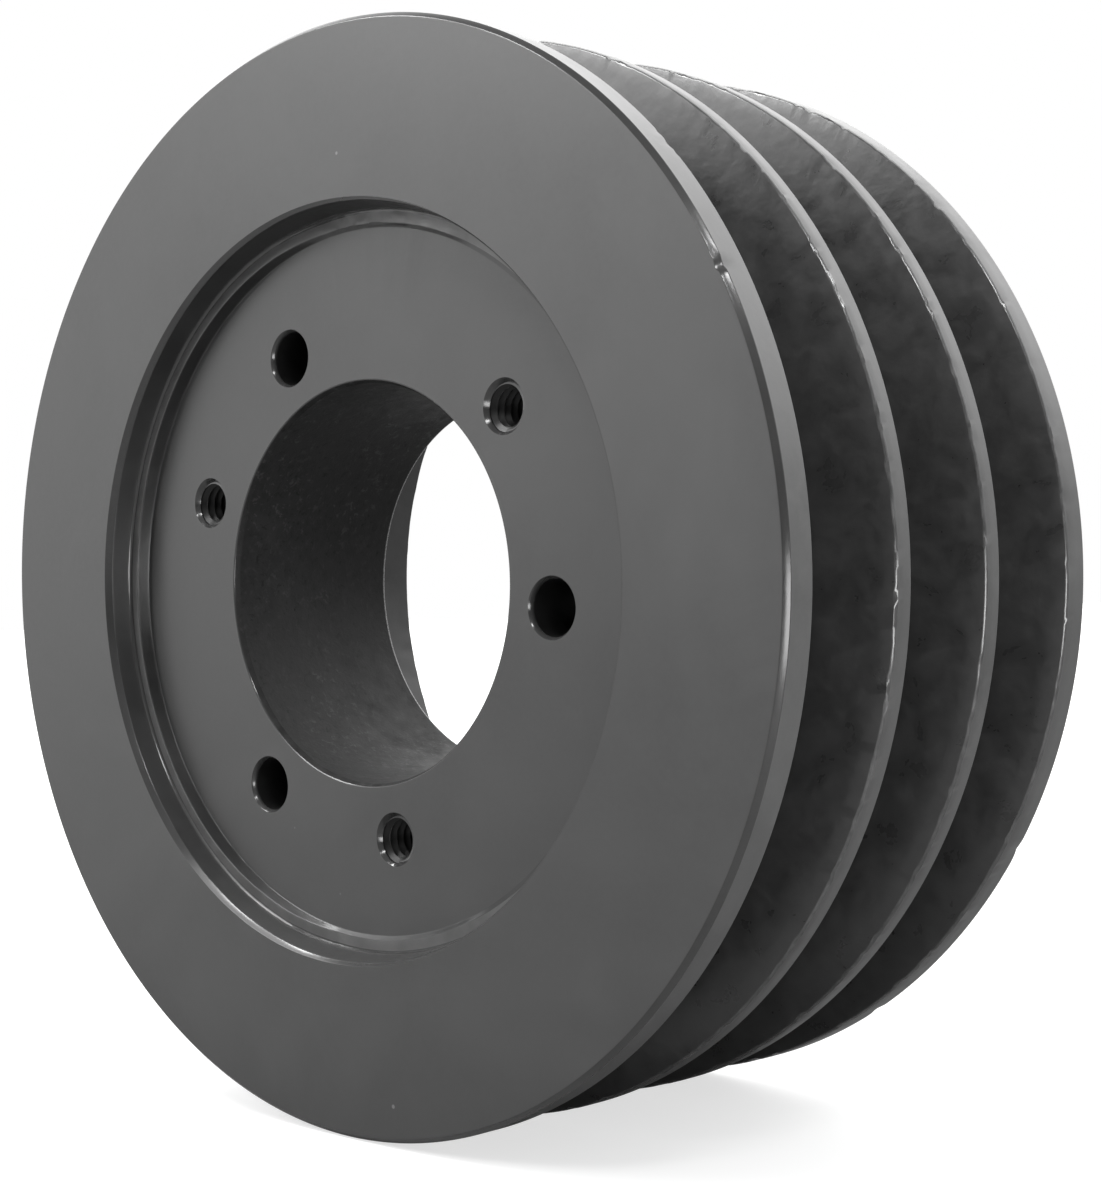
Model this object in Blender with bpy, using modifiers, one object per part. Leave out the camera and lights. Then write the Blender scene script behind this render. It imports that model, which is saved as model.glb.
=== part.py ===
"""Three-groove V-belt sheave, B section, bored for a three-screw tapered
split bushing.  One grey-iron casting, turned and drilled.

Frame: origin at the middle of the sheave on its axis, axis along Y, the
front (recessed, countersunk) side faces -Y, +Z up.  Lengths in metres.
"""
import math

import bmesh
import bpy
from mathutils import Matrix, Vector

INCH = 0.0254

# ---- rim and belt grooves (B section, 34 degree, pitch diameter 5.4 in) ----
RIM_OD = 5.75 * INCH
FACE_WIDTH = 2.50 * INCH
GROOVE_COUNT = 3
GROOVE_PITCH = 0.75 * INCH
GROOVE_EDGE = 0.50 * INCH
GROOVE_TOP_WIDTH = 0.637 * INCH
GROOVE_ANGLE = math.radians(34.0)
GROOVE_DEPTH = 0.575 * INCH
RIM_CHAMFER = 0.025 * INCH

# ---- front recess that takes the bushing flange ----
FRONT_MOUTH_R = 1.990 * INCH
FRONT_MOUTH_BREAK_R = 1.961 * INCH
FRONT_MOUTH_BREAK_DEPTH = 0.036 * INCH
FRONT_WALL_FOOT_R = 1.934 * INCH
FRONT_WALL_FOOT_DEPTH = 0.146 * INCH
FRONT_LEDGE_R = 1.862 * INCH
FRONT_LEDGE_DEPTH = 0.140 * INCH
FRONT_WEB_R = 1.842 * INCH
FRONT_WEB_DEPTH = 0.210 * INCH

# ---- rear pocket ----
REAR_MOUTH_R = 2.060 * INCH
REAR_MOUTH_BREAK = 0.035 * INCH
REAR_WALL_DRAFT = math.radians(3.0)
REAR_FILLET_R = 0.188 * INCH
HUB_REAR_DEPTH = 1.335 * INCH        # measured from the front rim face

# ---- tapered bore ----
BORE_EDGE_DIA = 2.124 * INCH
BORE_BREAK_RADIAL = 0.014 * INCH
BORE_BREAK_DEPTH = 0.035 * INCH
BORE_TAPER = 0.75 / 12.0             # on diameter
BORE_REAR_BREAK = 0.020 * INCH

# ---- screw holes ----
BOLT_CIRCLE_DIA = 2.6875 * INCH
CLEAR_DIA = 0.28125 * INCH
CLEAR_SINK_DIA = 0.300 * INCH
TAP_DRILL_DIA = 0.201 * INCH
TAP_SINK_DIA = 0.270 * INCH
TAP_FIRST_ANGLE = math.radians(38.5)
CLEAR_FIRST_ANGLE = math.radians(113.5)
HOLES_PER_SET = 3

TURN_STEPS = 96
HOLE_STEPS = 24
FILLET_STEPS = 3

OBJECT_NAME = "v_belt_sheave"


def clear_scene():
    for ob in list(bpy.data.objects):
        bpy.data.objects.remove(ob, do_unlink=True)
    for col in list(bpy.data.collections):
        bpy.data.collections.remove(col)
    for block in (bpy.data.meshes, bpy.data.curves, bpy.data.materials):
        for item in list(block):
            block.remove(item)


def new_collection(name):
    col = bpy.data.collections.new(name)
    bpy.context.scene.collection.children.link(col)
    return col


def rim_profile():
    """(radius, depth) pairs from the front mouth to the rear mouth."""
    radius = RIM_OD / 2.0
    half_top = GROOVE_TOP_WIDTH / 2.0
    half_floor = half_top - GROOVE_DEPTH * math.tan(GROOVE_ANGLE / 2.0)
    pts = [(FRONT_MOUTH_R, 0.0),
           (radius - RIM_CHAMFER, 0.0),
           (radius, RIM_CHAMFER)]
    for i in range(GROOVE_COUNT):
        mid = GROOVE_EDGE + i * GROOVE_PITCH
        pts += [(radius, mid - half_top),
                (radius - GROOVE_DEPTH, mid - half_floor),
                (radius - GROOVE_DEPTH, mid + half_floor),
                (radius, mid + half_top)]
    pts += [(radius, FACE_WIDTH - RIM_CHAMFER),
            (radius - RIM_CHAMFER, FACE_WIDTH),
            (REAR_MOUTH_R, FACE_WIDTH)]
    return pts


def rear_pocket_profile():
    """Mouth break, drafted wall, foot fillet and hub rear face."""
    wall_r = REAR_MOUTH_R - REAR_MOUTH_BREAK
    wall_top = FACE_WIDTH - REAR_MOUTH_BREAK
    run = wall_top - (HUB_REAR_DEPTH + REAR_FILLET_R)
    foot_r = wall_r - run * math.tan(REAR_WALL_DRAFT)
    pts = [(wall_r, wall_top)]
    cx = foot_r - REAR_FILLET_R
    cy = HUB_REAR_DEPTH + REAR_FILLET_R
    for k in range(FILLET_STEPS + 1):
        a = -0.5 * math.pi * k / FILLET_STEPS
        pts.append((cx + REAR_FILLET_R * math.cos(a),
                    cy + REAR_FILLET_R * math.sin(a)))
    return pts


def bore_profile():
    """Rear edge break, tapered wall and front edge break."""
    front_r = BORE_EDGE_DIA / 2.0 - BORE_BREAK_RADIAL
    front_d = FRONT_WEB_DEPTH + BORE_BREAK_DEPTH
    rear_d = HUB_REAR_DEPTH - BORE_REAR_BREAK
    rear_r = front_r - 0.5 * BORE_TAPER * (rear_d - front_d)
    return [(rear_r + BORE_REAR_BREAK, HUB_REAR_DEPTH),
            (rear_r, rear_d),
            (front_r, front_d),
            (BORE_EDGE_DIA / 2.0, FRONT_WEB_DEPTH)]


def front_recess_profile():
    return [(FRONT_WEB_R, FRONT_WEB_DEPTH),
            (FRONT_LEDGE_R, FRONT_LEDGE_DEPTH),
            (FRONT_WALL_FOOT_R, FRONT_WALL_FOOT_DEPTH),
            (FRONT_MOUTH_BREAK_R, FRONT_MOUTH_BREAK_DEPTH)]


def turned(name, profile, steps, collection):
    """Closed (radius, depth) profile spun about the sheave axis."""
    mesh = bpy.data.meshes.new(name)
    ob = bpy.data.objects.new(name, mesh)
    collection.objects.link(ob)
    bm = bmesh.new()
    verts = [bm.verts.new((r, d - FACE_WIDTH / 2.0, 0.0)) for r, d in profile]
    for a, b in zip(verts, verts[1:] + verts[:1]):
        bm.edges.new((a, b))
    bm.to_mesh(mesh)
    bm.free()
    spin = ob.modifiers.new("turn", 'SCREW')
    spin.axis = 'Y'
    spin.angle = 2.0 * math.pi
    spin.steps = steps
    spin.render_steps = steps
    spin.use_merge_vertices = True
    spin.merge_threshold = 0.00001
    return ob


def apply_modifiers(ob):
    deps = bpy.context.evaluated_depsgraph_get()
    mesh = bpy.data.meshes.new_from_object(ob.evaluated_get(deps))
    old = ob.data
    ob.modifiers.clear()
    ob.data = mesh
    bpy.data.meshes.remove(old)
    mesh.name = ob.name


def face_outward(ob):
    bm = bmesh.new()
    bm.from_mesh(ob.data)
    bmesh.ops.recalc_face_normals(bm, faces=bm.faces)
    if bm.calc_volume(signed=True) < 0.0:
        bmesh.ops.reverse_faces(bm, faces=bm.faces)
    bm.to_mesh(ob.data)
    bm.free()


def drill_profile(drill_dia, sink_dia):
    """Drill with a small countersink at the web face and at the hub rear."""
    over = 0.06 * INCH
    r = drill_dia / 2.0
    s = sink_dia / 2.0
    step = s - r
    front, rear = FRONT_WEB_DEPTH, HUB_REAR_DEPTH
    return [(s + over, front - over), (s, front), (r, front + step),
            (r, rear - step), (s, rear), (s + over, rear + over)]


def drill_tool(name, sets, collection):
    """All the drills joined as one cutter; sets = (dia, sink, start angle)."""
    mesh = bpy.data.meshes.new(name)
    bm = bmesh.new()
    for drill_dia, sink_dia, start in sets:
        prof = drill_profile(drill_dia, sink_dia)
        for k in range(HOLES_PER_SET):
            a = start + k * 2.0 * math.pi / HOLES_PER_SET
            cx = 0.5 * BOLT_CIRCLE_DIA * math.cos(a)
            cz = 0.5 * BOLT_CIRCLE_DIA * math.sin(a)
            rings = []
            for r, d in prof:
                rings.append([bm.verts.new((
                    cx + r * math.cos(a + 2.0 * math.pi * j / HOLE_STEPS),
                    d - FACE_WIDTH / 2.0,
                    cz + r * math.sin(a + 2.0 * math.pi * j / HOLE_STEPS)))
                    for j in range(HOLE_STEPS)])
            for lo, hi in zip(rings, rings[1:]):
                for j in range(HOLE_STEPS):
                    n = (j + 1) % HOLE_STEPS
                    bm.faces.new((lo[j], lo[n], hi[n], hi[j]))
            bm.faces.new(rings[0])
            bm.faces.new(list(reversed(rings[-1])))
    bmesh.ops.recalc_face_normals(bm, faces=bm.faces)
    bm.to_mesh(mesh)
    bm.free()
    ob = bpy.data.objects.new(name, mesh)
    collection.objects.link(ob)
    ob.hide_render = True
    ob.display_type = 'WIRE'
    return ob


def cut(ob, tool):
    mod = ob.modifiers.new("drill", 'BOOLEAN')
    mod.operation = 'DIFFERENCE'
    mod.solver = 'EXACT'
    mod.object = tool


def iron_material():
    mat = bpy.data.materials.new("cast_iron_dark")
    mat.use_nodes = True
    shader = mat.node_tree.nodes["Principled BSDF"]
    shader.inputs["Base Color"].default_value = (0.10, 0.10, 0.105, 1.0)
    shader.inputs["Metallic"].default_value = 0.35
    shader.inputs["Roughness"].default_value = 0.45
    return mat


def smooth(ob):
    for ob2 in bpy.context.view_layer.objects:
        ob2.select_set(ob2 == ob)
    bpy.context.view_layer.objects.active = ob
    bpy.ops.object.shade_smooth()
    ob.data.set_sharp_from_angle(angle=math.radians(28.0))


def build():
    clear_scene()
    parts = new_collection(OBJECT_NAME)
    tools = new_collection("cutters")

    profile = (rim_profile() + rear_pocket_profile() + bore_profile()
               + front_recess_profile())
    casting = turned("sheave_casting", profile, TURN_STEPS, parts)
    apply_modifiers(casting)
    face_outward(casting)

    drills = drill_tool("screw_hole_drills",
                        ((CLEAR_DIA, CLEAR_SINK_DIA, CLEAR_FIRST_ANGLE),
                         (TAP_DRILL_DIA, TAP_SINK_DIA, TAP_FIRST_ANGLE)),
                        tools)
    cut(casting, drills)
    apply_modifiers(casting)
    face_outward(casting)
    casting.data.materials.clear()
    casting.data.materials.append(iron_material())
    smooth(casting)


build()
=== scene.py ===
"""Looks of the three-groove V-belt sheave: one dense visual mesh in the CAD
frame, procedural cast-iron finishes, a pale floor and soft studio light."""

import math

import bmesh
import bpy
import numpy as np
from mathutils import Matrix, Vector


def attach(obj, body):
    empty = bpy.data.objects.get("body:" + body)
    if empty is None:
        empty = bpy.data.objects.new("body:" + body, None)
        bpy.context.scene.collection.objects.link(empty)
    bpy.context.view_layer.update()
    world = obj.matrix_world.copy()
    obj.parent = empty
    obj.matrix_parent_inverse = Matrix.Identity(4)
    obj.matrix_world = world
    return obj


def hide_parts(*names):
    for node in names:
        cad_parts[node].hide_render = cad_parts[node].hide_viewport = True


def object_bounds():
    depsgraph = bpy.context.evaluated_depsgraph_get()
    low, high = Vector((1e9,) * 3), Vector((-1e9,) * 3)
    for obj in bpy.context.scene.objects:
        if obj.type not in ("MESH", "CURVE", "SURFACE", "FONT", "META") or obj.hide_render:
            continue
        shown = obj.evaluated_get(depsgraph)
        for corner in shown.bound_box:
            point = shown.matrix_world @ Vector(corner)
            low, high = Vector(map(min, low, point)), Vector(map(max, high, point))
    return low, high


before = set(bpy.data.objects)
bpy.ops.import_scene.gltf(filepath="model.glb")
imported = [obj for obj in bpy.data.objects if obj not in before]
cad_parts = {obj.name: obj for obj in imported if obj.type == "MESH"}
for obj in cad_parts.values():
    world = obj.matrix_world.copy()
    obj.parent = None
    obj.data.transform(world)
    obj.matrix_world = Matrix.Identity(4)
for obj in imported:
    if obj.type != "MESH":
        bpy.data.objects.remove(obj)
cad_box = [[float(x) for x in corner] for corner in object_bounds()]

IN = 0.0254
HALF = 1.25                     # half of the face width, inches
SEG = 720                       # steps round the axis
PIECE = "sheave_casting_visual"

# --------------------------------------------------------------------------
# finishes: index in this list is the material slot on the mesh
# --------------------------------------------------------------------------
FACE, WEB, LAND, GROOVE, WALL, BORE, HOLE, THREAD, EDGE, STEP, RIMLINE, MOUTH, LEDGE, PARTING = range(14)
HUBBACK = WALL


# --------------------------------------------------------------------------
# seeded lattice noise, so every run gives the same casting
# --------------------------------------------------------------------------
def _hash(ix, iy, iz, seed):
    h = (ix.astype(np.int64) * 374761393 + iy.astype(np.int64) * 668265263
         + iz.astype(np.int64) * 2147483647 + seed * 1274126177) & 0xFFFFFFFF
    h = ((h ^ (h >> 13)) * 1274126177) & 0xFFFFFFFF
    h = (h ^ (h >> 16)) & 0xFFFFFFFF
    return h.astype(np.float64) / 0xFFFFFFFF * 2.0 - 1.0


def noise(p, scale, seed=0):
    """Smooth value noise in -1..1 at points p (n, 3) in metres; scale in metres."""
    q = np.asarray(p, float) / scale
    i = np.floor(q)
    f = q - i
    f = f * f * f * (f * (f * 6 - 15) + 10)
    i = i.astype(np.int64)
    out = np.zeros(len(q))
    for dx in (0, 1):
        wx = f[:, 0] if dx else 1 - f[:, 0]
        for dy in (0, 1):
            wy = f[:, 1] if dy else 1 - f[:, 1]
            for dz in (0, 1):
                wz = f[:, 2] if dz else 1 - f[:, 2]
                out += wx * wy * wz * _hash(i[:, 0] + dx, i[:, 1] + dy, i[:, 2] + dz, seed)
    return out


def fbm(p, scale, seed=0, octaves=3):
    out, amp, total = 0.0, 1.0, 0.0
    for k in range(octaves):
        out = out + amp * noise(p, scale / 2 ** k, seed + 17 * k)
        total += amp
        amp *= 0.5
    return out / total


# --------------------------------------------------------------------------
# the turned profile: (radius, depth from the front rim face), inches
# --------------------------------------------------------------------------
TAN17 = math.tan(math.radians(17.0))
OD_R = 2.875
FLOOR_R = OD_R - 0.575
FLOOR_HALF = 0.637 / 2 - 0.575 * TAN17
TOP_HALF = 0.637 / 2

# each corner: radius, depth, fillet radius, fillet steps, finish of the edge
# that leaves it, cuts along that edge
corners = []


def corner(r, d, fillet, steps, finish, cuts=1):
    corners.append((r, d, fillet, steps, finish, cuts))


HUB_D = 1.335                   # rear face of the hub
BORE_R0 = 1.048                 # bore at the end of the front edge break
BORE_R1 = BORE_R0 - (HUB_D - 0.020 - 0.245) * 0.75 / 24.0
corner(1.062, 0.210, 0.009, 4, WEB, 3)        # web face
corner(1.842, 0.210, 0.005, 2, STEP, 7)       # step up to the as-cast ledge; its finish has a dark tone, painted shade
corner(1.862, 0.138, 0.004, 3, LEDGE, 3)      # ledge: its finish has a light tone, painted light against the shadow the recess wall casts on it
corner(1.934, 0.146, 0.018, 5, WALL, 6)       # recess wall
corner(1.957, 0.030, 0.010, 3, MOUTH, 2)      # mouth break
corner(1.990, 0.000, 0.006, 3, FACE, 3)       # front rim face
corner(2.850, 0.000, 0.008, 3, MOUTH, 2)      # outer break
corner(2.875, 0.025, 0.008, 3, LAND, 3)       # land 1
for k, centre in enumerate((0.5, 1.25, 2.0)):
    corner(OD_R, centre - TOP_HALF, 0.008, 3, GROOVE, 7)
    corner(FLOOR_R, centre - FLOOR_HALF, 0.030, 3, GROOVE, 3)
    corner(FLOOR_R, centre + FLOOR_HALF, 0.030, 3, GROOVE, 7)
    corner(OD_R, centre + TOP_HALF, 0.016, 1, LAND, 2)
corner(2.875, 2.475, 0.006, 3, LAND, 3)
corner(2.850, 2.500, 0.006, 3, FACE, 3)       # rear rim face
corner(2.060, 2.500, 0.008, 3, WALL, 4)
REAR_TOP = 2.060 - 0.035
REAR_FOOT = REAR_TOP - (2.465 - HUB_D) * math.tan(math.radians(3.0))
corner(REAR_TOP, 2.465, 0.010, 3, WALL, 16)   # rear pocket wall
corner(REAR_FOOT, HUB_D, 0.188, 6, HUBBACK, 6)  # hub rear face
# rear edge of the bore: its finish has a bright tone, a painted highlight
corner(BORE_R1 + 0.020, HUB_D, 0.005, 3, RIMLINE, 2)
corner(BORE_R1, HUB_D - 0.020, 0.020, 4, BORE, 8)    # tapered bore
corner(BORE_R0, 0.245, 0.006, 3, BORE, 2)


def make_profile():
    """Points (n, 2) in inches with the finish of the edge after each point."""
    n = len(corners)
    pts, fin = [], []
    pos = [np.array([c[0], c[1]]) for c in corners]
    for i, (r, d, f, steps, finish, cuts) in enumerate(corners):
        p, a, b = pos[i], pos[i - 1], pos[(i + 1) % n]
        ua, ub = (a - p) / np.linalg.norm(a - p), (b - p) / np.linalg.norm(b - p)
        angle = math.acos(max(-1.0, min(1.0, float(ua @ ub))))
        prev_finish = corners[i - 1][4]
        reach = f / math.tan(angle / 2)
        reach = min(reach, 0.42 * np.linalg.norm(a - p), 0.42 * np.linalg.norm(b - p))
        f = reach * math.tan(angle / 2)
        centre = p + (ua + ub) / np.linalg.norm(ua + ub) * (f / math.sin(angle / 2))
        s, e = p + ua * reach - centre, p + ub * reach - centre
        arc = math.acos(max(-1.0, min(1.0, float(s @ e) / (f * f))))
        cross = s[0] * e[1] - s[1] * e[0]
        arc = math.copysign(arc, cross)
        for k in range(steps + 1):
            t = arc * k / steps
            c, si = math.cos(t), math.sin(t)
            pts.append(centre + np.array([c * s[0] - si * s[1], si * s[0] + c * s[1]]))
            fin.append(prev_finish if k < steps / 2 and k < steps else finish)
        # the fillet from groove to land takes the bright edge finish: partly edge wear, partly painted highlight
        if prev_finish == GROOVE and finish == LAND:
            fin[-steps - 1:-1] = [EDGE] * steps
        if prev_finish == LEDGE:
            fin[-steps - 1:-1] = [MOUTH] * steps
        if prev_finish == MOUTH and finish == LAND:
            fin[-steps - 1:-1] = [MOUTH] * steps
        if prev_finish == RIMLINE or (prev_finish == BORE and finish == WEB):
            fin[-steps - 1:-1] = [prev_finish if prev_finish == RIMLINE else MOUTH] * steps
        fin[-1] = finish
        # cuts along the straight edge that leaves this corner are put in later
        pts.append(("cut", i))
        fin.append(finish)
    out, fout = [], []
    m = len(pts)
    for j in range(m):
        if isinstance(pts[j], tuple):
            cuts = corners[pts[j][1]][5]
            a = pts[j - 1]
            b = pts[(j + 1) % m]
            for k in range(1, cuts):
                out.append(a + (b - a) * k / cuts)
                fout.append(fin[j])
        else:
            out.append(pts[j])
            fout.append(fin[j])
    return np.array(out), fout


prof, prof_fin = make_profile()
NP = len(prof)


# --------------------------------------------------------------------------
# revolve about Y, then give the surface its real unevenness
# --------------------------------------------------------------------------
theta = np.arange(SEG) * 2 * math.pi / SEG
R = np.repeat(prof[None, :, 0], SEG, 0)        # (SEG, NP) inches
D = np.repeat(prof[None, :, 1], SEG, 0)
T = np.repeat(theta[:, None], NP, 1)


def xyz(r, d, t):
    return np.stack([r * np.cos(t), d - HALF, r * np.sin(t)], -1) * IN


def ang_diff(t, centre_deg):
    return (np.degrees(t) - centre_deg + 180.0) % 360.0 - 180.0


base = xyz(R, D, T).reshape(-1, 3)


def grid(values):
    return values.reshape(SEG, NP)


# 1. the as-cast ledge stands proud of the machined web on one side only: the
#    two were not cut about quite the same centre
away = np.abs(ang_diff(T, 180.0))
ring = np.stack([np.cos(T) * 1.9, np.zeros_like(T), np.sin(T) * 1.9], -1).reshape(-1, 3) * IN
away = away + 2.5 * grid(fbm(ring, 0.004, 3))
full = np.interp(away, (0, 45, 50, 60, 70, 80, 85, 180), (1.0, 1.0, 0.97, 0.89, 0.68, 0.30, 0.0, 0.0))
# the step dies out on the far side: the ledge comes down to the web's level
# there, and the recess wall grows down with it
foot_d, ledge_d = 0.210, 0.146
far = np.interp(np.abs(ang_diff(T, 180.0)), (0, 96, 119, 180), (0.0, 0.0, 1.0, 1.0))
drop = np.maximum(far * far * (3 - 2 * far) * 0.985, 0.80 * (1.0 - full))
in_band = (D > 0.1280) & (D < 0.2098) & (R > 1.8365) & (R <= 1.9295)
in_wall = (D > 0.0400) & (D < 0.1500) & (R > 1.9295) & (R < 1.9560)
D = np.where(in_band, D + (foot_d - D) * drop,
             np.where(in_wall, D + (foot_d - ledge_d) * drop * (D - 0.040) / (ledge_d - 0.040), D))

# the mouth break is small on the other side and wide on this one
small = 0.5 - 0.5 * np.clip(np.cos(T) * 1.15 + 0.15, -1.0, 1.0)
small = 0.15 + 0.85 * small
in_mouth = (D < 0.045) & (R > 1.925) & (R < 2.012)
slid = np.where(in_mouth & (R > 1.9575), 1.9575 + (R - 1.9575) * small, R)
D = np.where(in_mouth, D * small, D)
R = slid

# 2. noise on the cast and coated surfaces, in inches along the local normal
tangent = np.roll(prof, -1, 0) - np.roll(prof, 1, 0)
tangent /= np.linalg.norm(tangent, axis=1)[:, None]
normal = np.stack([tangent[:, 1], -tangent[:, 0]], 1)       # (r, d)
area = 0.5 * np.sum(prof[:, 0] * np.roll(prof[:, 1], -1) - np.roll(prof[:, 0], -1) * prof[:, 1])
if area < 0:
    normal = -normal

amp = np.zeros((SEG, NP))
is_wall = np.array([f in (WALL, STEP, LEDGE) for f in prof_fin])
rear = prof[:, 1] > 1.0
amp[:, is_wall & rear] = 0.0050
front_cast = is_wall & ~rear & (prof[:, 1] > 0.03) & (prof[:, 0] > 1.83)
amp[:, front_cast] = 0.0011
amp[:, np.array([f == GROOVE for f in prof_fin])] = 0.0011
amp[:, np.array([f == BORE for f in prof_fin])] = 0.0004
hub_rear = rear & is_wall & (np.abs(prof[:, 1] - HUB_D) < 0.001)
amp[:, hub_rear] = 0.0

rough = 0.65 * grid(fbm(base, 0.0042, 11, 3)) + 0.35 * grid(fbm(base, 0.0014, 23, 2))

# rough as-cast patch at the top of the recess, between wall and web
patch = np.exp(-(ang_diff(T, 84.0) / 15.0) ** 2) * np.exp(-((R - 1.870) / 0.050) ** 2)
patch *= (D > 0.12) & (D < 0.215)
amp = amp + 0.0150 * patch
move = amp * rough

R = R + move * normal[None, :, 0]
D = D + move * normal[None, :, 1]

# 3. small knocks on the sharp edges: (angle, radius, depth, size, how deep)
base2 = xyz(R, D, T)
knocks = [
    (27.2, 2.862, 0.012, 0.030, 0.022),
    (28.3, 2.858, 0.004, 0.018, 0.010),
    (41.8, 2.875, 0.182, 0.020, 0.012),
    (43.4, 2.875, 0.185, 0.014, 0.010),
    (40.6, 2.875, 0.186, 0.012, 0.008),
    (30.0, 2.875, 0.820, 0.016, 0.006),
    (33.5, 2.875, 0.819, 0.016, 0.006),
    (36.0, 2.875, 0.820, 0.014, 0.005),
    (31.0, 2.875, 1.569, 0.016, 0.006),
    (34.2, 2.875, 1.569, 0.014, 0.006),
    (37.0, 2.875, 1.569, 0.016, 0.005),
    (27.0, 2.875, 1.569, 0.014, 0.005),
    (-30.5, 2.875, 2.488, 0.050, 0.012),
    (-56.2, 2.875, 2.488, 0.050, 0.010),
    (-29.5, 2.875, 0.820, 0.020, 0.007),
    (-41.0, 2.875, 0.820, 0.020, 0.006),
    (-33.0, 2.875, 1.570, 0.018, 0.006),
]
for deg, r, d, size, deep in knocks:
    t = math.radians(deg)
    p = np.array([r * math.cos(t), d - HALF, r * math.sin(t)]) * IN
    dist = np.linalg.norm(base2 - p, axis=-1) / (size * IN)
    w = np.exp(-dist ** 2 * 1.6) * (0.75 + 0.5 * grid(noise(base2.reshape(-1, 3), 0.0007, 41)))
    R = R - deep * w
edge_line = np.array([f == EDGE for f in prof_fin])
edge_line = edge_line | np.roll(edge_line, 1)
worn = np.clip(grid(fbm(base2.reshape(-1, 3), 0.0016, 71, 2)) - 0.18, 0, 1) * 0.014
R = R - worn * edge_line[None, :]
co = xyz(R, D, T).reshape(-1, 3)

# the screw holes only meet the web and the hub, so the casting is made as two
# shells that share their two rings of points: the hub, closed for the cutting
# by a wall inside the metal, and the rim
web_ring = next(i for i in range(NP) if prof_fin[i] == WEB and 1.52 < prof[i, 0] < 1.80)
hub_ring = next(i for i in range(NP) if 1.52 < prof[i, 0] < 1.72 and abs(prof[i, 1] - HUB_D) < 1e-6)


def strip(first, last, finish_of, wrap):
    """Quads between consecutive profile points first..last (indices may wrap)."""
    order = list(range(first, last + 1)) if not wrap else list(range(first, NP)) + list(range(0, last + 1))
    m = len(order)
    verts = co.reshape(SEG, NP, 3)[:, order].reshape(-1, 3)
    grid_i = np.arange(SEG * m).reshape(SEG, m)
    nt_ = np.roll(grid_i, -1, 0)
    q = np.stack([grid_i[:, :-1], grid_i[:, 1:], nt_[:, 1:], nt_[:, :-1]], -1).reshape(-1, 4)
    fin = np.repeat(np.array([prof_fin[i] for i in order[:-1]])[None], SEG, 0).reshape(-1)
    return verts, q, fin, grid_i


rim_v, rim_q, rim_m, _ = strip(web_ring, hub_ring, prof_fin, False)
hub_v, hub_q, hub_m, hub_i = strip(hub_ring, web_ring, prof_fin, True)
hub_n = np.roll(hub_i, -1, 0)
wall_q = np.stack([hub_i[:, -1], hub_i[:, 0], hub_n[:, 0], hub_n[:, -1]], -1)
hub_q = np.concatenate([hub_q, wall_q])
hub_m = np.concatenate([hub_m, np.full(SEG, PARTING)])


def build_mesh(name, verts, faces, mats):
    mesh = bpy.data.meshes.new(name)
    mesh.vertices.add(len(verts))
    mesh.vertices.foreach_set("co", np.asarray(verts, np.float32).ravel())
    sizes = np.array([len(f) for f in faces], np.int32)
    mesh.loops.add(int(sizes.sum()))
    mesh.loops.foreach_set("vertex_index", np.concatenate([np.asarray(f, np.int32) for f in faces]))
    mesh.polygons.add(len(faces))
    mesh.polygons.foreach_set("loop_start", np.concatenate([[0], np.cumsum(sizes)[:-1]]).astype(np.int32))
    mesh.polygons.foreach_set("material_index", np.asarray(mats, np.int32))
    mesh.update(calc_edges=True)
    mesh.validate()
    return mesh


# --------------------------------------------------------------------------
# cutters for the six screw holes
# --------------------------------------------------------------------------
BC_R = 2.6875 / 2
FRONT_D, REAR_D = 0.210, HUB_D


def lathe_cutter(rings, segs, mat):
    """Closed solid of revolution about the local depth axis: rings (depth, radius)."""
    verts, faces, mats = [], [], []
    for d, r in rings:
        for i in range(segs):
            t = 2 * math.pi * i / segs
            verts.append((r * math.cos(t), d, r * math.sin(t)))
    for k in range(len(rings) - 1):
        for i in range(segs):
            j = (i + 1) % segs
            faces.append((k * segs + i, (k + 1) * segs + i, (k + 1) * segs + j, k * segs + j))
            mats.append(mat)
    faces.append(tuple(range(segs)))
    mats.append(mat)
    last = (len(rings) - 1) * segs
    faces.append(tuple(last + i for i in reversed(range(segs))))
    mats.append(mat)
    return verts, faces, mats


def sink_cutter(d_face, r_face, r_in, depth, depth_dir, segs, finish):
    """Hole mouth: a small edge break at the face, then a steep countersink."""
    rings = [(d_face - depth_dir * 0.030, r_face + 0.012),
             (d_face - depth_dir * 0.003, r_face + 0.003),
             (d_face + depth_dir * 0.014, r_face - 0.011),
             (d_face + depth_dir * depth, r_in),
             (d_face + depth_dir * (depth + 0.004), r_in * 0.6)]
    verts, faces, kinds = lathe_cutter(rings, segs, finish)
    for i in range(2 * segs):
        kinds[i] = MOUTH
    return verts, faces, kinds


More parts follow.
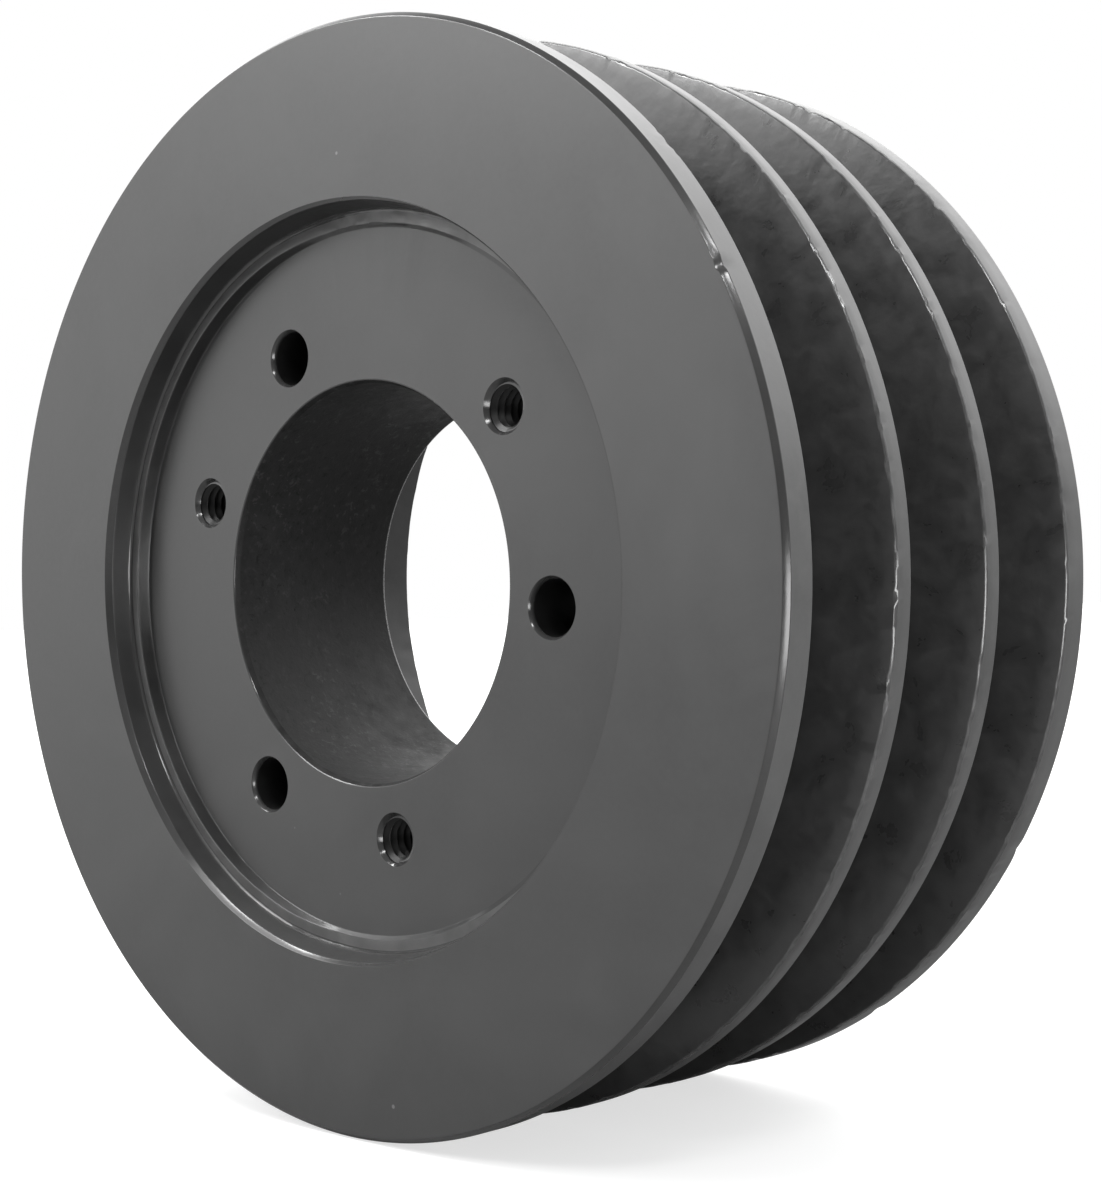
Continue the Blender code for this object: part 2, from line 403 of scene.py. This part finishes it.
def thread_cutter(minor, major, pitch, d0, turns, segs, mat, crest_flat=0.12, root_flat=0.16):
    """Closed helical cutter for an internal thread, right-handed, along +depth."""
    # profile across one pitch: the crest of the metal is at the minor radius
    ps = [(0.0, minor), (crest_flat, minor), (0.5 - root_flat / 2 + crest_flat / 2, major),
          (0.5 + root_flat / 2 + crest_flat / 2, major)]
    n = len(ps)
    steps = segs * turns
    verts = []
    for i in range(steps + 1):
        t = -2 * math.pi * i / segs
        for u, r in ps:
            d = d0 + (i / segs + u) * pitch
            verts.append((r * math.cos(t), d, r * math.sin(t)))
    idv = lambda i, p: i * n + p
    faces, kinds = [], []
    for i in range(steps):
        for p in range(n - 1):
            faces.append((idv(i, p), idv(i + 1, p), idv(i + 1, p + 1), idv(i, p + 1)))
            # thread crests take the bright edge finish: painted highlight on the crests
            kinds.append(EDGE if p == 0 else mat)
        if i + 1 + segs <= steps:
            faces.append((idv(i, n - 1), idv(i + 1, n - 1), idv(i + 1 + segs, 0), idv(i + segs, 0)))
            kinds.append(mat)
    bottom = [idv(i, 0) for i in range(segs + 1)] + [idv(0, p) for p in range(n - 1, 0, -1)]
    top = [idv(i, n - 1) for i in range(steps - segs, steps + 1)] + [idv(steps, p) for p in range(n - 2, -1, -1)]
    cb = len(verts)
    verts.append((0.0, d0 - pitch * 0.6, 0.0))
    ct = len(verts)
    verts.append((0.0, d0 + (turns + 1.6) * pitch, 0.0))
    for k in range(len(bottom)):
        faces.append((bottom[k], bottom[(k + 1) % len(bottom)], cb)[::-1])
    for k in range(len(top)):
        faces.append((top[k], top[(k + 1) % len(top)], ct))
    return verts, faces, kinds + [mat] * (len(faces) - len(kinds))


def place(verts, deg):
    """Cutter coordinates in inches about its own axis -> metres at its hole."""
    t = math.radians(deg)
    v = np.array(verts, float)
    v[:, 0] += BC_R * math.cos(t)
    v[:, 2] += BC_R * math.sin(t)
    v[:, 1] -= HALF
    return v * IN


def mesh_object(name, verts, faces, mats):
    mesh = build_mesh(name, verts, faces, mats)
    obj = bpy.data.objects.new(name, mesh)
    bpy.context.scene.collection.objects.link(obj)
    bm = bmesh.new()
    bm.from_mesh(mesh)
    bmesh.ops.recalc_face_normals(bm, faces=bm.faces)
    if bm.calc_volume(signed=True) < 0:
        bmesh.ops.reverse_faces(bm, faces=bm.faces)
    open_edges = [e for e in bm.edges if len(e.link_faces) != 2]
    if open_edges:
        raise RuntimeError(f"{name} is not closed: {len(open_edges)} edges")
    bm.to_mesh(mesh)
    bm.free()
    return obj


body = mesh_object(PIECE, hub_v, hub_q, hub_m)

cutters = []
for k in range(3):
    deg = 113.5 + 120 * k
    rr = 0.28125 / 2
    v, f, m = lathe_cutter([(FRONT_D - 0.06, rr), (REAR_D + 0.06, rr)], 72, HOLE)
    cutters.append(mesh_object(f"clear_{k}", place(v, deg), f, m))
    v, f, m = sink_cutter(FRONT_D, 0.155, rr * 0.985, 0.036, 1, 72, MOUTH)
    cutters.append(mesh_object(f"clear_sink_{k}", place(v, deg), f, m))
    v, f, m = sink_cutter(REAR_D, 0.155, rr * 0.985, 0.036, -1, 72, MOUTH)
    cutters.append(mesh_object(f"clear_sink_rear_{k}", place(v, deg), f, m))
for k in range(3):
    deg = 38.5 + 120 * k
    turns = 24
    v, f, m = thread_cutter(0.201 / 2, 0.250 / 2, 0.05, FRONT_D - 0.07, turns, 40, THREAD)
    cutters.append(mesh_object(f"tap_{k}", place(v, deg), f, m))
    v, f, m = sink_cutter(FRONT_D, 0.140, 0.119, 0.030, 1, 72, MOUTH)
    cutters.append(mesh_object(f"tap_sink_{k}", place(v, deg), f, m))
    v, f, m = sink_cutter(REAR_D, 0.140, 0.119, 0.030, -1, 72, MOUTH)
    cutters.append(mesh_object(f"tap_sink_rear_{k}", place(v, deg), f, m))

cut_set = bpy.data.collections.new("cut_set")
bpy.context.scene.collection.children.link(cut_set)
for o in cutters:
    bpy.context.scene.collection.objects.unlink(o)
    cut_set.objects.link(o)


# --------------------------------------------------------------------------
# procedural finishes
# --------------------------------------------------------------------------
def new_material(name):
    mat = bpy.data.materials.new(name)
    mat.use_nodes = True
    nt = mat.node_tree
    nt.nodes.clear()
    out = nt.nodes.new("ShaderNodeOutputMaterial")
    bsdf = nt.nodes.new("ShaderNodeBsdfPrincipled")
    nt.links.new(bsdf.outputs[0], out.inputs[0])
    return mat, nt, bsdf


def n_coords(nt):
    return nt.nodes.new("ShaderNodeTexCoord").outputs["Object"]


def n_noise(nt, vec, scale, detail=3.0, rough=0.55, distortion=0.0):
    n = nt.nodes.new("ShaderNodeTexNoise")
    n.inputs["Scale"].default_value = scale
    n.inputs["Detail"].default_value = detail
    n.inputs["Roughness"].default_value = rough
    n.inputs["Distortion"].default_value = distortion
    nt.links.new(vec, n.inputs["Vector"])
    return n.outputs["Fac"]


def n_voronoi(nt, vec, scale, randomness=1.0):
    n = nt.nodes.new("ShaderNodeTexVoronoi")
    n.inputs["Scale"].default_value = scale
    n.inputs["Randomness"].default_value = randomness
    nt.links.new(vec, n.inputs["Vector"])
    return n


def n_range(nt, value, a, b, c, d, smooth=False):
    n = nt.nodes.new("ShaderNodeMapRange")
    n.clamp = True
    if smooth:
        n.interpolation_type = "SMOOTHSTEP"
    for i, x in zip((1, 2, 3, 4), (a, b, c, d)):
        n.inputs[i].default_value = x
    nt.links.new(value, n.inputs[0])
    return n.outputs[0]


def n_math(nt, op, a, b=None):
    n = nt.nodes.new("ShaderNodeMath")
    n.operation = op
    for i, x in enumerate((a, b)):
        if x is None:
            continue
        if isinstance(x, (int, float)):
            n.inputs[i].default_value = x
        else:
            nt.links.new(x, n.inputs[i])
    return n.outputs[0]


def n_mix(nt, fac, a, b):
    n = nt.nodes.new("ShaderNodeMix")
    n.data_type = "RGBA"
    for sock, x in ((n.inputs[0], fac), (n.inputs[6], a), (n.inputs[7], b)):
        if isinstance(x, (int, float)):
            sock.default_value = x
        elif isinstance(x, tuple):
            sock.default_value = (*x, 1.0)
        else:
            nt.links.new(x, sock)
    return n.outputs[2]


def n_bump(nt, height, distance, strength=1.0, normal=None):
    n = nt.nodes.new("ShaderNodeBump")
    n.inputs["Strength"].default_value = strength
    n.inputs["Distance"].default_value = distance
    nt.links.new(height, n.inputs["Height"])
    if normal is not None:
        nt.links.new(normal, n.inputs["Normal"])
    return n.outputs["Normal"]


def grey(v, warm=0.0):
    return (v * (1 + warm), v, v * (1 - warm))


def iron(name, tone, contrast=0.18, rough=(0.36, 0.46), mottle=60.0, grain=1400.0, grain_depth=6e-6,
         peel=0.0, peel_scale=420.0, pits=0.0, pit_scale=900.0, flecks=0.0, fleck_scale=330.0,
         blotch=0.0, blotch_scale=200.0, metallic=0.0, speck=0.0, speck_scale=1100.0,
         spec=0.5):
    """Dark coated iron: broad mottling, fine grain, and optional orange peel,
    pits, light flecks, blotches and specks."""
    mat, nt, bsdf = new_material(name)
    vec = n_coords(nt)
    broad = n_noise(nt, vec, mottle, 4.0, 0.6, 0.4)
    fine = n_noise(nt, vec, grain, 2.0, 0.5)
    dark, light = grey(tone * (1 - contrast)), grey(tone * (1 + contrast))
    colour = n_mix(nt, n_range(nt, broad, 0.32, 0.68, 0.0, 1.0), dark, light)
    colour = n_mix(nt, n_range(nt, fine, 0.35, 0.75, 0.0, 0.22), colour, grey(tone * 1.35))
    rmap = n_range(nt, broad, 0.3, 0.7, rough[0], rough[1])
    normal = n_bump(nt, fine, grain_depth, 1.0)
    if blotch:
        b = n_range(nt, n_noise(nt, vec, blotch_scale, 5.0, 0.65, 0.8), 0.50, 0.66, 0.0, blotch, True)
        colour = n_mix(nt, b, colour, grey(tone * 1.9))
        rmap = n_math(nt, "ADD", rmap, n_math(nt, "MULTIPLY", b, 0.15))
    if peel:
        normal = n_bump(nt, n_noise(nt, vec, peel_scale, 2.0, 0.45), peel, 1.0, normal)
    if pits:
        v = n_voronoi(nt, vec, pit_scale)
        gate = n_range(nt, n_noise(nt, vec, pit_scale * 0.16, 3.0, 0.6), 0.50, 0.62, 0.0, 1.0, True)
        dot = n_math(nt, "MULTIPLY", n_range(nt, v.outputs["Distance"], 0.10, 0.30, 1.0, 0.0, True), gate)
        colour = n_mix(nt, n_math(nt, "MULTIPLY", dot, pits), colour, grey(tone * 0.25))
        hollow = n_math(nt, "SUBTRACT", 1.0, dot)
        normal = n_bump(nt, hollow, 6e-5, 0.8, normal)
    if speck:
        tiny = n_noise(nt, vec, speck_scale, 4.0, 0.7, 0.3)
        area = n_noise(nt, vec, speck_scale * 0.07, 3.0, 0.6)
        gate = n_range(nt, area, 0.42, 0.58, 0.25, 1.0, True)
        lit = n_math(nt, "MULTIPLY", n_range(nt, tiny, 0.56, 0.66, 0.0, speck), gate)
        colour = n_mix(nt, lit, colour, grey(tone * 3.4))
        dim = n_range(nt, tiny, 0.32, 0.42, speck, 0.0)
        colour = n_mix(nt, dim, colour, grey(tone * 0.3))
        normal = n_bump(nt, tiny, 5e-5, 0.8, normal)
    if flecks:
        v = n_voronoi(nt, vec, fleck_scale)
        pick = nt.nodes.new("ShaderNodeSeparateColor")
        nt.links.new(v.outputs["Color"], pick.inputs[0])
        chosen = n_range(nt, pick.outputs[0], 1.0 - flecks, 1.0 - flecks + 0.002, 0.0, 1.0)
        dot = n_math(nt, "MULTIPLY", n_range(nt, v.outputs["Distance"], 0.07, 0.12, 1.0, 0.0, True), chosen)
        colour = n_mix(nt, n_math(nt, "MULTIPLY", dot, 0.7), colour, grey(0.16))
    nt.links.new(colour, bsdf.inputs["Base Color"])
    nt.links.new(rmap, bsdf.inputs["Roughness"])
    nt.links.new(normal, bsdf.inputs["Normal"])
    bsdf.inputs["Metallic"].default_value = metallic
    bsdf.inputs["Specular IOR Level"].default_value = spec
    bsdf.inputs["IOR"].default_value = 1.5
    return mat


mats = [None] * 13
mats[FACE] = iron("iron_turned_face", 0.026, 0.30, (0.32, 0.43), mottle=26, flecks=0.012, blotch=0.16, blotch_scale=34)
mats[WEB] = iron("iron_turned_web", 0.024, 0.24, (0.33, 0.43), mottle=34, flecks=0.010, blotch=0.12, blotch_scale=46)
mats[LAND] = iron("iron_turned_land", 0.048, 0.20, (0.30, 0.42), mottle=60, blotch=0.15, blotch_scale=160)
# dark groove tone: partly the groove's own finish, partly painted shade in the deep grooves
mats[GROOVE] = iron("iron_groove_and_painted_shade", 0.020, 0.28, (0.25, 0.40), mottle=260, peel=5.5e-5, peel_scale=520)
mats[WALL] = iron("iron_as_cast", 0.015, 0.25, (0.36, 0.48), mottle=150, peel=3e-5, peel_scale=500)
mats[BORE] = iron("iron_bore", 0.0115, 0.35, (0.48, 0.62), mottle=420, grain=2600, grain_depth=1.2e-5, blotch=0.45, blotch_scale=140, speck=0.9, speck_scale=900, spec=0.2)
mats[HOLE] = iron("iron_drilled", 0.006, 0.15, (0.25, 0.35))
# near-black tone on the thread flanks: painted shade inside the tapped holes
mats[THREAD] = iron("iron_tapped_painted_shade", 0.004, 0.20, (0.30, 0.40), spec=0.25)
# bright, part-metallic tone on land front edges and thread crests: partly edge wear, partly painted highlight
mats[EDGE] = iron("iron_worn_edge_and_painted_highlight", 0.075, 0.30, (0.16, 0.26), mottle=500, metallic=0.4)
# dark tone on the step wall: painted shade for the dark band along the step, on top of the shade its angle gives
mats[STEP] = iron("iron_step_wall_painted_shade", 0.009, 0.25, (0.30, 0.42), mottle=160, peel=3e-5, peel_scale=500)
# bright tone at the bore's rear edge: painted highlight for the bright line there
mats[RIMLINE] = iron("iron_bore_rear_edge_painted_highlight", 0.090, 0.50, (0.18, 0.34), mottle=1100, grain=2600, metallic=0.3)
mats[MOUTH] = iron("iron_edge_break", 0.026, 0.18, (0.13, 0.20), mottle=60)
# light tone on the as-cast ledge: painted light that offsets the shadow the recess wall casts on it
mats[LEDGE] = iron("iron_cast_ledge_painted_light", 0.058, 0.25, (0.36, 0.46), mottle=150, peel=2e-5, peel_scale=500)
mats.append(mats[WEB])
for m in mats:
    body.data.materials.append(m)
    for o in cutters:
        o.data.materials.append(m)

mod = body.modifiers.new("holes", "BOOLEAN")
mod.operation = "DIFFERENCE"
mod.solver = "EXACT"
mod.operand_type = "COLLECTION"
mod.collection = cut_set
mod.material_mode = "INDEX"
bpy.context.view_layer.update()
deps = bpy.context.evaluated_depsgraph_get()
cut_mesh = bpy.data.meshes.new_from_object(body.evaluated_get(deps), depsgraph=deps)
body.modifiers.clear()
body.data = cut_mesh
for o in cutters:
    bpy.data.objects.remove(o)
bpy.data.collections.remove(cut_set)

rim = build_mesh("rim", rim_v, rim_q, rim_m)
bm = bmesh.new()
bm.from_mesh(body.data)
bmesh.ops.delete(bm, geom=[f for f in bm.faces if f.material_index == PARTING], context="FACES")
bm.from_mesh(rim)
bmesh.ops.remove_doubles(bm, verts=[v for v in bm.verts if v.is_boundary], dist=2e-7)
bmesh.ops.dissolve_degenerate(bm, dist=1e-7, edges=bm.edges)
bmesh.ops.recalc_face_normals(bm, faces=bm.faces)
if bm.calc_volume(signed=True) < 0:
    bmesh.ops.reverse_faces(bm, faces=bm.faces)
open_edges = sum(1 for e in bm.edges if len(e.link_faces) != 2)
print("casting", len(bm.verts), len(bm.faces), "edges not shared by two faces:", open_edges,
      "volume cm3", round(bm.calc_volume() * 1e6, 2))
if open_edges:
    raise RuntimeError("the casting's visual mesh isn't closed")
bm.to_mesh(body.data)
bm.free()
bpy.data.meshes.remove(rim)
body.data.materials.pop(index=PARTING)

for p in body.data.polygons:
    p.use_smooth = True
body.data.set_sharp_from_angle(angle=math.radians(38.0))
wn = body.modifiers.new("weighted", "WEIGHTED_NORMAL")
wn.mode = "FACE_AREA"
wn.weight = 60
wn.keep_sharp = True
bpy.context.view_layer.update()
deps = bpy.context.evaluated_depsgraph_get()
final = bpy.data.meshes.new_from_object(body.evaluated_get(deps), depsgraph=deps)
body.modifiers.clear()
body.data = final
body.data.name = PIECE

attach(body, "root")
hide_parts("sheave_casting")


# --------------------------------------------------------------------------
# floor, light, camera
# --------------------------------------------------------------------------
floor_mesh = bpy.data.meshes.new("floor")
ring = [(40 * math.cos(i * math.pi / 32), 40 * math.sin(i * math.pi / 32), 0.0) for i in range(64)]
floor_mesh.from_pydata(ring, [], [tuple(range(64))])
floor = bpy.data.objects.new("floor", floor_mesh)
floor.location = (0, 0, cad_box[0][2] - 0.0002)
bpy.context.scene.collection.objects.link(floor)
fmat, fnt, fb = new_material("pale_floor")
fb.inputs["Base Color"].default_value = (0.62, 0.62, 0.62, 1)
fb.inputs["Roughness"].default_value = 0.7
fb.inputs["Specular IOR Level"].default_value = 0.2
fl = fnt.nodes.new("ShaderNodeVectorMath")
fl.operation = "LENGTH"
fnt.links.new(n_coords(fnt), fl.inputs[0])
seen = fnt.nodes.new("ShaderNodeLightPath").outputs["Is Camera Ray"]
glow = n_range(fnt, fl.outputs["Value"], 0.25, 1.1, 0.66, 1.0, True)
fnt.links.new(n_mix(fnt, seen, grey(0.28), grey(0.36)), fb.inputs["Base Color"])
fb.inputs["Emission Color"].default_value = (1, 1, 1, 1)
fnt.links.new(n_math(fnt, "MULTIPLY", glow, seen), fb.inputs["Emission Strength"])
floor_mesh.materials.append(fmat)


def softbox(name, direction, distance, size, power, target=(0, 0, 0), size_y=None):
    d = Vector(direction).normalized()
    light = bpy.data.lights.new(name, "AREA")
    light.shape = "RECTANGLE"
    light.size = size
    light.size_y = size_y or size
    light.energy = power
    obj = bpy.data.objects.new(name, light)
    obj.location = Vector(target) + d * distance
    obj.rotation_euler = (-d).to_track_quat("-Z", "Y").to_euler()
    obj.visible_camera = False
    bpy.context.scene.collection.objects.link(obj)
    return obj


softbox("overhead_left", (-0.46, -0.56, 0.69), 1.2, 0.85, 9.0)
softbox("sparkle_left", (-0.56, -0.70, 0.44), 1.2, 0.30, 3.0)
softbox("top_strip_1", (-0.28, -0.41, 0.87), 1.2, 0.27, 5.0)
softbox("top_strip_2", (-0.58, -0.21, 0.79), 1.2, 0.29, 6.0)
softbox("key_spot", (0.42, -0.60, 0.67), 1.3, 0.16, 3.2, size_y=0.14)
softbox("edge_spot", (0.555, -0.38, 0.74), 1.3, 0.20, 3.0, size_y=0.16)
softbox("front_left", (-0.62, -0.75, 0.15), 1.3, 0.9, 3.0, size_y=0.7)
softbox("left", (-0.90, -0.42, 0.05), 1.4, 0.8, 2.0)
softbox("low_right", (0.85, -0.32, -0.20), 0.33, 0.16, 0.9)

world = bpy.data.worlds.new("studio")
bpy.context.scene.world = world
world.use_nodes = True
wnt = world.node_tree
wnt.nodes.clear()
w_out = wnt.nodes.new("ShaderNodeOutputWorld")
w_bg = wnt.nodes.new("ShaderNodeBackground")
w_cam = wnt.nodes.new("ShaderNodeBackground")
w_mix = wnt.nodes.new("ShaderNodeMixShader")
w_path = wnt.nodes.new("ShaderNodeLightPath")
w_tc = wnt.nodes.new("ShaderNodeTexCoord")
w_sep = wnt.nodes.new("ShaderNodeSeparateXYZ")
wnt.links.new(w_tc.outputs["Generated"], w_sep.inputs[0])
back = n_range(wnt, w_sep.outputs[1], -0.10, 0.55, 0.14, 1.0, True)
high = n_range(wnt, w_sep.outputs[2], 0.05, 0.60, 0.9, 3.2, True)
back = n_math(wnt, "MULTIPLY", back, high)
w_bg.inputs["Color"].default_value = (1, 1, 1, 1)
wnt.links.new(back, w_bg.inputs["Strength"])
w_cam.inputs["Color"].default_value = (1, 1, 1, 1)
w_cam.inputs["Strength"].default_value = 1.0
wnt.links.new(w_path.outputs["Is Camera Ray"], w_mix.inputs[0])
wnt.links.new(w_bg.outputs[0], w_mix.inputs[1])
wnt.links.new(w_cam.outputs[0], w_mix.inputs[2])
wnt.links.new(w_mix.outputs[0], w_out.inputs[0])

right = Vector((0.698113, 0.715529, -0.025634))
up = Vector((0.0, 0.035802, 0.999359))
ahead = Vector((-0.715988, 0.697665, -0.024994))
up = (up - up.dot(ahead) / ahead.dot(ahead) * ahead).normalized()
right = ahead.cross(up).normalized()
cam_data = bpy.data.cameras.new("camera")
cam = bpy.data.objects.new("camera", cam_data)
rot = Matrix((right, up, -ahead.normalized())).transposed()
cam.matrix_world = Matrix.Translation((0.210904, -0.219784, -0.004498)) @ rot.to_4x4()
cam_data.sensor_width = 36.0
cam_data.sensor_fit = "AUTO"
cam_data.lens = 64.504
cam_data.shift_x = 0.10083
cam_data.shift_y = 0.05833
cam_data.clip_start = 0.01
cam_data.clip_end = 100.0
cam_data.dof.use_dof = False
bpy.context.scene.collection.objects.link(cam)
bpy.context.scene.camera = cam

view = bpy.context.scene.view_settings
view.view_transform = "Standard"
view.look = "None"
view.exposure = 0.0
view.gamma = 1.0
